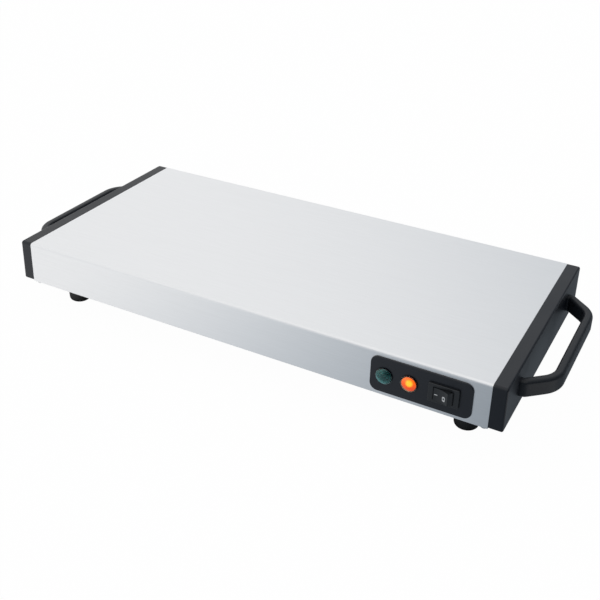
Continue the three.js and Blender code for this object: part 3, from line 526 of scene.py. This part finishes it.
def steel_cover():
    piece = block(cover_low, cover_high)
    pick("FACE", lambda face: abs(face.normal.x) > FACING or face.normal.z < -FACING)
    bpy.ops.mesh.delete(type="FACE")
    for edge_y, inward in ((front, HEM_WIDTH), (rear, -HEM_WIDTH)):
        pick("EDGE", lambda edge: lies(edge, "Z", cover_low.z) and lies(edge, "Y", edge_y))
        bpy.ops.mesh.extrude_edges_move(TRANSFORM_OT_translate={"value": (0, inward, 0)})
    for level, radius, segments in ((cover_high.z, TOP_BEND, 8), (cover_low.z, HEM_BEND, 6)):
        pick(
            "EDGE",
            lambda edge: lies(edge, "Z", level)
            and runs(edge, "X")
            and (lies(edge, "Y", front) or lies(edge, "Y", rear)),
        )
        round_off(radius, segments)
    modify(piece, "SOLIDIFY", thickness=SHEET, offset=-1, use_even_offset=True)

    panel_low, panel_high = corners("control_panel")
    opening = block(
        (panel_low.x + PANEL_LIP, front - OVER, panel_low.z + PANEL_LIP),
        (panel_high.x - PANEL_LIP, front + OVER, panel_high.z - PANEL_LIP),
    )
    pick("EDGE", lambda edge: runs(edge, "Y"))
    round_off(PANEL_CORNER - PANEL_LIP, segments=8)
    combine(piece, opening)
    combine(piece, upright_block(centre("mains_inlet"), INLET_BODY, rear - OVER, rear + OVER, PANEL_FIT))
    for name in ("inlet_screw_left", "inlet_screw_right"):
        bore(piece, SCREW_RADIUS + FIT, centre(name), "Y", rear - OVER, rear + OVER, sides=24)
    soften(piece, SHEET_EDGE, segments=2, angle=60)
    settle(piece, "cover", satin_steel, "brushed_cover_steel", "steel_cover")


# End caps


def end_caps():
    low, high = corners("right_end_cap")
    piece = block((cover_high.x, low.y + CAP_SETBACK, low.z), (high.x, high.y - CAP_SETBACK, high.z))
    for level, radius, segments in ((high.z, TOP_BEND, 8), (low.z, CAP_BOTTOM_CORNER, 5)):
        pick("EDGE", lambda edge: runs(edge, "X") and lies(edge, "Z", level))
        round_off(radius, segments)
    pick("EDGE", lambda edge: lies(edge, "X", high.x))
    round_off(CAP_EDGE, segments=6)
    wall = Vector((CAP_WALL,) * 3)
    combine(piece, block((cover_high.x - OVER, *(low + wall).yz), high - wall))

    collar_front = centre("cap_screw_front_right").y - BOSS / 2
    collar_low = Vector((low.x, collar_front, cover_low.z + 2 * SHEET + PANEL_FIT))
    collar_high = Vector((high.x - CAP_WALL / 2, 2 * body_y - collar_front, cover_high.z - SHEET - PANEL_FIT))
    collar = block(collar_low, collar_high)
    pick("EDGE", lambda edge: runs(edge, "X"))
    round_off(COLLAR_CORNER, segments=4)
    inner = Vector((0, COLLAR_WALL, COLLAR_WALL))
    through = Vector((OVER, 0, 0))
    combine(collar, block(collar_low + inner - through, collar_high - inner + through))
    combine(piece, collar, "UNION")
    for side in ("front", "rear"):
        at = centre("cap_screw_" + side + "_right")
        post = block(
            (low.x + FIT, at.y - BOSS / 2 + FIT, collar_low.z + FIT),
            (cover_high.x + CAP_WALL, at.y + BOSS / 2 - FIT, collar_low.z + BOSS_HEIGHT),
        )
        combine(piece, post, "UNION")
        bore(piece, SCREW_RADIUS + FIT, at, "Z", cover_low.z, cover_low.z + BOSS_HEIGHT, sides=24)
    left = copy_of(piece, turn=math.pi)
    settle(piece, "cap_right", cap_black, "cap_plastic", "right_end_cap")
    settle(left, "cap_left", cap_black, "cap_plastic", "left_end_cap")


# Handles


def follow(path):
    """Draws the selected face along a level path of (x, y, radius) corners, with its turns rounded."""
    here = Vector(path[0][:2])
    for (x, y, radius), after in zip(path[1:-1], path[2:]):
        corner = Vector((x, y))
        arriving = (corner - here).normalized()
        leaving = (Vector(after[:2]) - corner).normalized()
        turn = math.atan2(arriving.x * leaving.y - arriving.y * leaving.x, arriving.dot(leaving))
        reach = radius * math.tan(abs(turn) / 2)
        straight = corner - arriving * reach - here
        push(*straight)
        side = math.copysign(radius, turn)
        middle = here + straight + Vector((-arriving.y, arriving.x)) * side
        bpy.ops.mesh.spin(
            steps=max(HANDLE_TURN_STEPS, round(abs(turn) * radius / HANDLE_TURN_STEP)),
            angle=-turn,
            center=(*middle, 0),
            axis=(0, 0, 1),
        )
        here = corner + leaving * reach
    push(*(Vector(path[-1][:2]) - here))


def handles():
    low, high = corners("right_handle")
    root_y = body_y - (high.y - low.y) / 2 + HANDLE_THICKNESS / 2
    grip_x = high.x - HANDLE_THICKNESS / 2
    grip_y = body_y - HANDLE_GRIP_SPREAD / 2
    stub_x = body_end + HANDLE_STUB
    first = body_end + HANDLE_START
    piece = block(
        (body_end, root_y - HANDLE_THICKNESS / 2, low.z),
        (first, root_y + HANDLE_THICKNESS / 2, high.z),
    )
    pick("EDGE", lambda edge: runs(edge, "X"))
    round_off(HANDLE_EDGE, segments=7)
    pick("FACE", lambda face: lies(face, "X", first))
    follow(
        [
            (first, root_y, 0),
            (stub_x, root_y, HANDLE_STUB_BEND),
            (grip_x, grip_y, HANDLE_CORNER),
            (grip_x, 2 * body_y - grip_y, HANDLE_CORNER),
            (stub_x, 2 * body_y - root_y, HANDLE_STUB_BEND),
            (body_end, 2 * body_y - root_y, 0),
        ]
    )
    bpy.ops.mesh.select_all(action="SELECT")
    bpy.ops.mesh.remove_doubles(threshold=0.001)
    bpy.ops.mesh.normals_make_consistent(inside=False)
    done()
    left = copy_of(piece, turn=math.pi)
    settle(piece, "handle_bar_right", handle_black, "handle_plastic", "right_handle")
    settle(left, "handle_bar_left", handle_black, "handle_plastic", "left_handle")


# Feet


def feet():
    low, high = corners("foot_front_left")
    middle = (low + high) / 2
    top = Vector((middle.x, middle.y, high.z))
    piece = drum(FOOT_RADIUS, (middle.x, middle.y, low.z), top, "Z", sides=64)
    pick("EDGE", lambda edge: lies(edge, "Z", low.z))
    round_off(FOOT_EDGE, segments=10)
    pick("FACE", lambda face: lies(face, "Z", high.z))
    spread = FOOT_TOP_RADIUS / FOOT_RADIUS
    bpy.ops.transform.resize(value=(spread, spread, 1), center_override=top)
    pick("FACE", lambda face: lies(face, "Z", low.z) and len(face.verts) > 4)
    bpy.ops.mesh.inset(thickness=FOOT_RADIUS - FOOT_EDGE - FOOT_RECESS_RADIUS)
    push(z=FOOT_RECESS_DEPTH)
    bore(piece, SCREW_RADIUS + FIT, middle, "Z", low.z + FOOT_RECESS_DEPTH - OVER, high.z + OVER, sides=32)
    for place in ("front_right", "rear_left", "rear_right"):
        at = centre("foot_" + place) - middle
        settle(copy_of(piece, move=at), "foot_pad_" + place, foot_rubber, "foot_rubber", "foot_" + place)
    settle(piece, "foot_pad_front_left", foot_rubber, "foot_rubber", "foot_front_left")


# Screws with a cross recess


def screw(length):
    """A pan-head screw with a cross recess, pointing up, the underside of its head at the origin."""
    piece = drum(SCREW_HEAD_RADIUS, (0, 0, -SCREW_HEAD), (0, 0, 0), "Z", sides=48)
    pick("EDGE", lambda edge: lies(edge, "Z", -SCREW_HEAD))
    round_off(SCREW_DOME, segments=5)
    shank = drum(SCREW_RADIUS, (0, 0, -SCREW_HEAD / 2), (0, 0, length), "Z", sides=32)
    pick("EDGE", lambda edge: lies(edge, "Z", length))
    round_off(SCREW_TIP, segments=2)
    combine(piece, shank, "UNION")
    half = Vector((CROSS_LENGTH / 2, CROSS_WIDTH / 2, OVER))
    below = Vector((0, 0, -SCREW_HEAD))
    bottom = Vector((0, 0, CROSS_DEPTH - SCREW_HEAD - OVER))
    for arm in (half, half.yxz):
        combine(piece, block(below - arm, bottom + arm))
    return piece


def screws():
    for kind in ("foot_screw", "cap_screw"):
        low, high = corners(kind + "_front_left")
        model = screw(high.z - low.z - SCREW_HEAD)
        for place in ("front_left", "front_right", "rear_left", "rear_right"):
            at = centre(f"{kind}_{place}")
            at.z = low.z + SCREW_HEAD
            piece = copy_of(model, move=at)
            settle(piece, f"{kind}_head_{place}", plated_steel, "plated_steel", f"{kind}_{place}")
        bpy.data.objects.remove(model)
    low, high = corners("inlet_screw_left")
    model = screw(high.y - low.y - SCREW_HEAD)
    alone(model)
    bpy.ops.transform.rotate(value=-math.pi / 2, orient_axis="X", center_override=(0, 0, 0))
    bpy.ops.object.transform_apply(location=True, rotation=True, scale=True)
    for place in ("left", "right"):
        at = centre("inlet_screw_" + place)
        at.y = high.y - SCREW_HEAD
        piece = copy_of(model, move=at)
        settle(piece, "inlet_screw_head_" + place, plated_steel, "plated_steel", "inlet_screw_" + place)
    bpy.data.objects.remove(model)


# Control panel


def control_panel():
    low, high = corners("control_panel")
    piece = block(low, (high.x, front, high.z))
    pick("EDGE", lambda edge: runs(edge, "Y"))
    round_off(PANEL_CORNER, segments=12)
    pick("EDGE", lambda edge: lies(edge, "Y", low.y))
    round_off(PANEL_EDGE, segments=4)
    reach = Vector((PANEL_LIP + PANEL_FIT, 0, PANEL_LIP + PANEL_FIT))
    plug_low = Vector((low.x, front - PANEL_PROUD / 2, low.z)) + reach
    plug_high = high - reach
    plug = block(plug_low, plug_high)
    pick("EDGE", lambda edge: runs(edge, "Y"))
    round_off(PANEL_CORNER - PANEL_LIP - PANEL_FIT, segments=8)
    combine(piece, plug, "UNION")
    behind_plate = Vector((PANEL_PLUG_WALL, low.y + PANEL_PLATE - plug_low.y, PANEL_PLUG_WALL))
    open_end = Vector((-PANEL_PLUG_WALL, OVER, -PANEL_PLUG_WALL))
    hollow = block(plug_low + behind_plate, plug_high + open_end)
    pick("EDGE", lambda edge: runs(edge, "Y"))
    round_off(PANEL_CORNER - PANEL_LIP - PANEL_FIT - PANEL_PLUG_WALL, segments=6)
    combine(piece, hollow)
    for name in ("green_lens", "amber_lens"):
        bore(piece, LENS_STEM + FIT, centre(name), "Y", low.y - OVER, high.y + OVER, sides=64)
    at = centre("switch_housing")
    combine(piece, upright_block(at, SWITCH_BODY, low.y - OVER, high.y + OVER, PANEL_FIT))
    settle(piece, "panel", panel_black, "panel_plastic", "control_panel")


# Pilot lamps


def lens(name, clear, core_material, slot):
    """A domed lens, hollow behind, and the cut facets that show through it."""
    low, high = corners(name)
    middle = (low + high) / 2
    rim = low.y + LENS_DOME
    seat = rim + LENS_RIM
    floor = seat - LENS_FLOOR
    dome_radius = (LENS_RADIUS**2 + LENS_DOME**2) / (2 * LENS_DOME)
    dome_middle = Vector((middle.x, low.y + dome_radius, middle.z))

    def cap(radius, cut_at, segments, rings):
        """The front cap of a sphere about the dome's middle, cut off flat and closed behind."""
        piece = start(
            bpy.ops.mesh.primitive_uv_sphere_add,
            segments=segments,
            ring_count=rings,
            radius=radius,
            location=dome_middle,
            rotation=(math.pi / 2, 0, 0),
        )
        bpy.ops.mesh.select_all(action="SELECT")
        bpy.ops.mesh.bisect(plane_co=(0, cut_at, 0), plane_no=(0, 1, 0), clear_outer=True, use_fill=True)
        return piece

    piece = cap(dome_radius, rim, segments=96, rings=96)
    pick("FACE", lambda face: lies(face, "Y", rim))
    push(y=LENS_RIM)
    bpy.ops.mesh.inset(thickness=LENS_RADIUS - LENS_STEM)
    push(y=high.y - seat)
    combine(piece, cap(dome_radius - LENS_SHELL, floor, segments=64, rings=64))
    bore(piece, LENS_BORE, middle, "Y", floor - FIT, high.y + OVER, sides=64)
    soften(piece, LENS_EDGE, segments=3, angle=50)
    settle(piece, name.replace("lens", "lamp_lens"), clear, slot, name)

    core = cap(dome_radius - LENS_SHELL - FIT, floor - FIT, segments=16, rings=22)
    settle(core, name.replace("lens", "lamp_facets"), core_material, slot, smooth=1)


# Rocker switch


def switch_housing():
    low, high = corners("switch_housing")
    middle = (low + high) / 2
    face = front - PANEL_PROUD
    piece = block(low, (high.x, face, high.z))
    pick("EDGE", lambda edge: runs(edge, "Y"))
    round_off(BEZEL_CORNER, segments=6)
    pick("EDGE", lambda edge: lies(edge, "Y", low.y))
    round_off(BEZEL_EDGE, segments=4)
    combine(piece, upright_block(middle, SWITCH_BODY, face - BEZEL_PROUD / 2, high.y), "UNION")
    up = Vector((0, 0, ROCKER_HEIGHT / 2 + ROCKER_GAP))
    combine(piece, drum(rocker_radius + ROCKER_GAP, rocker_pivot - up, rocker_pivot + up, "Z", sides=96))
    up = Vector((0, 0, ROCKER_HEIGHT / 2 + ROCKER_GAP + PIVOT_LENGTH + FIT))
    combine(piece, drum(PIVOT_RADIUS + FIT, rocker_pivot - up, rocker_pivot + up, "Z", sides=32))
    grow = Vector((FIT, FIT, FIT))
    for name in ("switch_tab_live", "switch_tab_load"):
        tab_low, tab_high = corners(name)
        combine(piece, block(tab_low - grow, tab_high + grow))
    settle(piece, "switch_frame", switch_black, "switch_plastic", "switch_housing")


def rocker():
    up = Vector((0, 0, ROCKER_HEIGHT / 2))
    piece = drum(rocker_radius, rocker_pivot - up, rocker_pivot + up, "Z", sides=128)
    wide = Vector((2 * rocker_radius, 0, ROCKER_HEIGHT))
    back = block(
        rocker_pivot - wide + Vector((0, ROCKER_TAIL, 0)),
        rocker_pivot + wide + Vector((0, 2 * rocker_radius, 0)),
    )
    combine(piece, back)
    scoop_radius = (ROCKER_HALF_CHORD**2 + ROCKER_SCOOP**2) / (2 * ROCKER_SCOOP)
    scoop = rocker_pivot - Vector((0, ROCKER_RISE - ROCKER_SCOOP + scoop_radius, 0))
    combine(piece, drum(scoop_radius, scoop - 2 * up, scoop + 2 * up, "Z", sides=256))
    soften(piece, ROCKER_EDGE, segments=4, angle=30)
    pin = Vector((0, 0, ROCKER_HEIGHT / 2 + ROCKER_GAP + PIVOT_LENGTH))
    combine(piece, drum(PIVOT_RADIUS, rocker_pivot - pin, rocker_pivot + pin, "Z", sides=32), "UNION")

    def on_face(across, up, mark):
        """Lays a mark, made level at the pivot facing the front, on the hollow face."""
        tilt = math.asin(across / scoop_radius)
        depth = scoop.y + scoop_radius * math.cos(tilt) - rocker_pivot.y
        done()
        at = rocker_pivot + Vector((across, depth, up))
        mark.data.transform(Matrix.Translation(at) @ Matrix.Rotation(-tilt, 4, "Z"))
        return mark

    half = Vector((MARK_LENGTH / 2, 0, MARK_LINE / 2))
    bar = block(Vector((0, -MARK_PROUD, 0)) - half, Vector((0, MARK_ROOT, 0)) + half)
    pick("EDGE", lambda edge: runs(edge, "Y"))
    round_off(MARK_CORNER, segments=3)
    on_mark = on_face(*ON_MARK_AT, bar)
    rings = []
    for (wide, high), low_y, high_y in ((RING_OUTER, -MARK_PROUD, MARK_ROOT), (RING_HOLE, -OVER, OVER)):
        rings.append(drum(wide / 2, (0, low_y, 0), (0, high_y, 0), "Y", sides=48))
        bpy.ops.mesh.select_all(action="SELECT")
        bpy.ops.transform.resize(value=(1, 1, high / wide))
    combine(*rings)
    off_mark = on_face(*OFF_MARK_AT, rings[0])

    turn = Matrix.Rotation(-ROCKER_TURN, 4, "Z")
    turn = Matrix.Translation(rocker_pivot) @ turn @ Matrix.Translation(-rocker_pivot)
    for part in (piece, on_mark, off_mark):
        part.data.transform(turn)
    settle(piece, "rocker_key", switch_black, "switch_plastic", "switch_rocker", body="rocker")
    settle(on_mark, "rocker_mark_on", white_print, "switch_plastic", body="rocker")
    settle(off_mark, "rocker_mark_off", white_print, "switch_plastic", body="rocker")


# Mains inlet


def mains_inlet():
    low, high = corners("mains_inlet")
    middle = (low + high) / 2
    piece = block((low.x, rear, low.z), high)
    pick("EDGE", lambda edge: runs(edge, "Y"))
    round_off(FLANGE_CORNER, segments=8)
    pick("EDGE", lambda edge: lies(edge, "Y", high.y))
    round_off(FLANGE_EDGE, segments=3)
    combine(piece, upright_block(middle, INLET_BODY, low.y, rear + FLANGE / 2), "UNION")
    well = upright_block(middle, SOCKET, high.y - SOCKET_DEPTH, high.y + OVER)
    pick("EDGE", lambda edge: runs(edge, "Y") and lies(edge, "Z", middle.z + SOCKET[1] / 2))
    round_off(SOCKET_CHAMFER, segments=1)
    combine(piece, well)
    grow = Vector((FIT, OVER, FIT))
    for name in ("inlet_pin_live", "inlet_pin_neutral", "inlet_pin_earth"):
        pin_low, pin_high = corners(name)
        combine(piece, block(pin_low - grow, pin_high + grow))
    for name in ("inlet_screw_left", "inlet_screw_right"):
        bore(piece, SCREW_RADIUS + FIT, centre(name), "Y", rear - OVER, high.y + OVER, sides=24)
    soften(piece, INLET_EDGE, segments=2, angle=60)
    settle(piece, "inlet_shell", inlet_black, "inlet_plastic", "mains_inlet")


steel_cover()
end_caps()
handles()
feet()
screws()
control_panel()
clear_green = clear_lens("clear green", (0.22, 0.7, 0.67))
lens("green_lens", clear_green, make_green_core(), "green_lens_plastic")
bulb_at = centre("amber_lens") + Vector((BULB_TO_RIGHT, 0, BULB_UP))
bulb_at.y = corners("amber_lens")[0].y + LENS_SHELL
amber_core = make_amber_core(bulb_at / METRE)
clear_amber = clear_lens("clear amber", (1.0, 0.55, 0.25))
lens("amber_lens", clear_amber, amber_core, "amber_lens_plastic")
switch_housing()
rocker()
mains_inlet()

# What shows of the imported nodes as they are
FINISHES = {
    "brushed_cover_steel": satin_steel,
    "plated_steel": plated_steel,
    "cap_plastic": cap_black,
    "handle_plastic": handle_black,
    "foot_rubber": foot_rubber,
    "panel_plastic": panel_black,
    "green_lens_plastic": clear_bulb,
    "amber_lens_plastic": clear_bulb,
    "bulb_glass": clear_bulb,
    "switch_plastic": switch_black,
    "contact_brass": contact_brass,
    "inlet_plastic": inlet_black,
    "spreader_aluminium": mill_aluminium,
    "element_sheath": oxidised_sheath,
    "ceramic": white_ceramic,
    "mat_fibre": needled_mat,
    "lead_sleeve": sleeving,
}
for part in frame["record"]["subparts"]:
    node = frame["nodes"][part["node"]]
    node.data.materials.clear()
    node.data.materials.append(FINISHES[part["material_slot"]])


# Floor, light and camera, in metres

FLOOR_SIZE = 12
FLOOR_SHADOW = 0.02
# The floor's light on the tray: dim to the right and beneath it, but lit far behind and on one patch
FLOOR_DIMS = (-0.25, 0.45)
FLOOR_DARKEST = 0.13
FLOOR_BEHIND = (0.1, 0.32)
FLOOR_BEHIND_LIGHT = 0.75
PATCH_AT = (0.34, -0.09, 0)
PATCH_REACH = (0.05, 0.12)
SHADE_EDGE = 0.03
UNDER_TRAY = 0.06
# The dim sides of the room: the way there, where it starts and ends by cosine, and the light left
DIM_SIDES = (
    (Vector((0.3, -0.95, 0)), (0.6, 1.0), 0.2),
    (Vector((0.8, 0.3, -0.5)).normalized(), (-0.38, 0.6), 0.1),
)
DIM_TINT = (0.68, 0.84, 1.0)
AZIMUTH = math.radians(28.72)
ELEVATION = math.radians(25.46)
ROLL = math.radians(1.01)
EYE = (0.3268, -0.6243, 0.4268)
FOCAL_SHARE = 943.8 / 600
MIDDLE_SHARES = (280.4 / 600, 221.3 / 600)
SENSOR = 36
CLIP_START = 0.01


def cool_where_dim(tree, strength):
    """White light that turns bluish where it is dim."""
    return between(tree, strength, DIM_TINT, (1, 1, 1))


def larger(tree, one, other):
    return add_node(tree, "Math", {0: one, 1: other}, operation="MAXIMUM").outputs[0]


def make_floor():
    """A pale floor. The camera sees it nearly white, and the tray gets its uneven light."""
    bpy.ops.object.select_all(action="DESELECT")
    bpy.ops.mesh.primitive_plane_add(size=FLOOR_SIZE)
    floor = bpy.context.object
    floor.name = "floor"
    material, tree, shader = principled("floor", (FLOOR_SHADOW,) * 3, 1, Specular_IOR_Level=0)
    shader.inputs["Emission Color"].default_value = (1, 1, 1, 1)
    shader.inputs["Emission Strength"].default_value = 1 - FLOOR_SHADOW
    place = add_node(tree, "TexCoord").outputs["Object"]
    apart = add_node(tree, "SeparateXYZ", {0: place})
    to_right = fade(tree, apart.outputs["X"], *FLOOR_DIMS, FLOOR_DARKEST)
    behind = fade(tree, apart.outputs["Y"], *FLOOR_BEHIND, FLOOR_BEHIND_LIGHT, 0.0)
    from_patch = add_node(tree, "VectorMath", {0: place, 1: PATCH_AT}, operation="DISTANCE")
    patch = fade(tree, from_patch.outputs["Value"], *PATCH_REACH, 0.0)
    lit = larger(tree, larger(tree, to_right, behind), patch)
    sides = []
    for place_along, end in ((apart.outputs["X"], body_end / METRE), (apart.outputs["Y"], rear / METRE)):
        from_middle = add_node(tree, "Math", {0: place_along}, operation="ABSOLUTE").outputs[0]
        sides.append(fade(tree, from_middle, end - SHADE_EDGE, end, 1.0, 0.0))
    under = fade(tree, larger(tree, *sides), 0.0, 1.0, 1.0, UNDER_TRAY)
    strength = product(tree, lit, under)
    card = add_node(tree, "Emission", {"Color": cool_where_dim(tree, lit), "Strength": strength}).outputs[0]
    seen = add_node(tree, "LightPath").outputs["Is Camera Ray"]
    mix = add_node(tree, "MixShader", {0: seen, 1: card, 2: shader.outputs[0]})
    tree.links.new(mix.outputs[0], tree.nodes["Material Output"].inputs["Surface"])
    floor.data.materials.append(material)


def make_camera():
    """A camera at the photograph's viewing point, with its middle off the frame's middle."""
    out = math.cos(ELEVATION)
    back = Vector((math.sin(AZIMUTH) * out, -math.cos(AZIMUTH) * out, math.sin(ELEVATION)))
    level = Vector((0, 0, 1)).cross(back).normalized()
    up = back.cross(level)
    right = math.cos(ROLL) * level + math.sin(ROLL) * up
    above = math.cos(ROLL) * up - math.sin(ROLL) * level
    data = bpy.data.cameras.new("camera")
    data.sensor_width = SENSOR
    data.lens = FOCAL_SHARE * SENSOR
    data.shift_x = 0.5 - MIDDLE_SHARES[0]
    data.shift_y = MIDDLE_SHARES[1] - 0.5
    data.clip_start = CLIP_START
    camera = bpy.data.objects.new("camera", data)
    bpy.context.scene.collection.objects.link(camera)
    turn = Matrix((right, above, back)).transposed()
    camera.matrix_world = Matrix.Translation(EYE) @ turn.to_4x4()
    bpy.context.scene.camera = camera


def make_world():
    """A studio room: white to the camera, and for the tray bright on the left and above and dim elsewhere."""
    world = bpy.data.worlds.new("studio")
    bpy.context.scene.world = world
    world.use_nodes = True
    tree = world.node_tree
    background = tree.nodes["Background"]
    seen = add_node(tree, "LightPath").outputs["Is Camera Ray"]
    way = add_node(tree, "TexCoord").outputs["Generated"]
    dims = []
    for towards, limits, darkest in DIM_SIDES:
        share = add_node(tree, "VectorMath", {0: way, 1: towards}, operation="DOT_PRODUCT").outputs["Value"]
        dims.append(fade(tree, share, *limits, darkest))
    lit = product(tree, *dims)
    strength = add_node(tree, "MapRange", {"Value": seen, "To Min": lit, "To Max": 1})
    tree.links.new(strength.outputs[0], background.inputs["Strength"])
    color = blend(tree, seen, cool_where_dim(tree, lit), (1, 1, 1, 1))
    tree.links.new(color, background.inputs["Color"])


make_floor()
make_world()
bpy.context.scene.view_settings.view_transform = "Standard"
make_camera()
